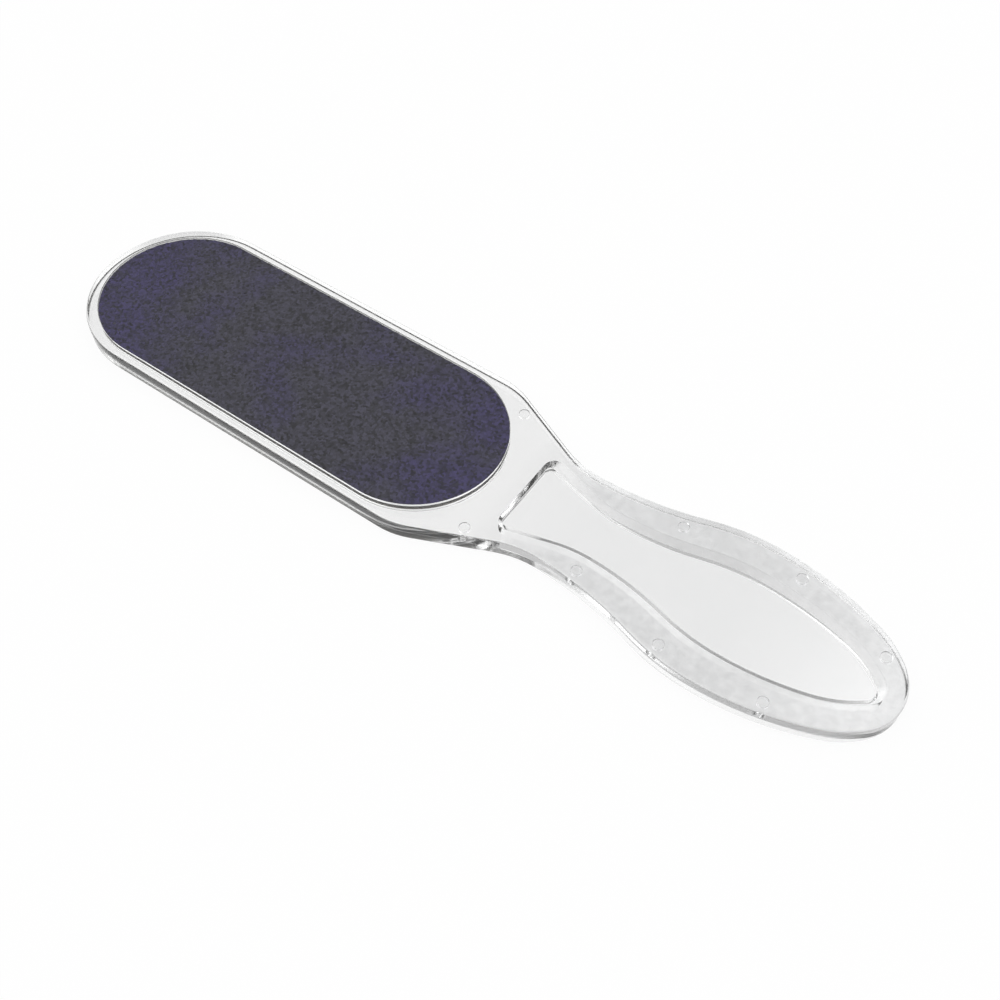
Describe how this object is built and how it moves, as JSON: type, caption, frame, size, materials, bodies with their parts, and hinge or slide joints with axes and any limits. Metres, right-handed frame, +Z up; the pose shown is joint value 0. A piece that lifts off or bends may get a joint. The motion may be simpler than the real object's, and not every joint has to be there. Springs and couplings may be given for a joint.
{
  "type": "foot file",
  "caption": "Paddle foot file of clear plastic: welded half shells, a recessed panel in the handle and a round-ended abrasive sheet set into each face of the head.",
  "frame": {"origin": "middle of the length and width, on the surface that the back rim lies on", "axes": "+X along the length towards the handle's end, +Z up out of the front abrasive sheet, +Y across the width"},
  "size_m": [0.2396, 0.0534, 0.0052],
  "materials": {
    "clear_plastic": "clear, polished",
    "dark_glue": "dark glue film",
    "milky_glue": "milky glue film",
    "dark_backing": "dark pressed board",
    "pale_backing": "pale pressed board",
    "coarse_grit": "coarse abrasive coat",
    "fine_grit": "fine abrasive coat"
  },
  "bodies": {
    "root": {"front_shell": "clear_plastic", "back_shell": "clear_plastic", "front_adhesive": "dark_glue", "front_backing": "dark_backing", "front_grit": "coarse_grit", "back_adhesive": "milky_glue", "back_backing": "pale_backing", "back_grit": "fine_grit"}
  },
  "joints": []
}
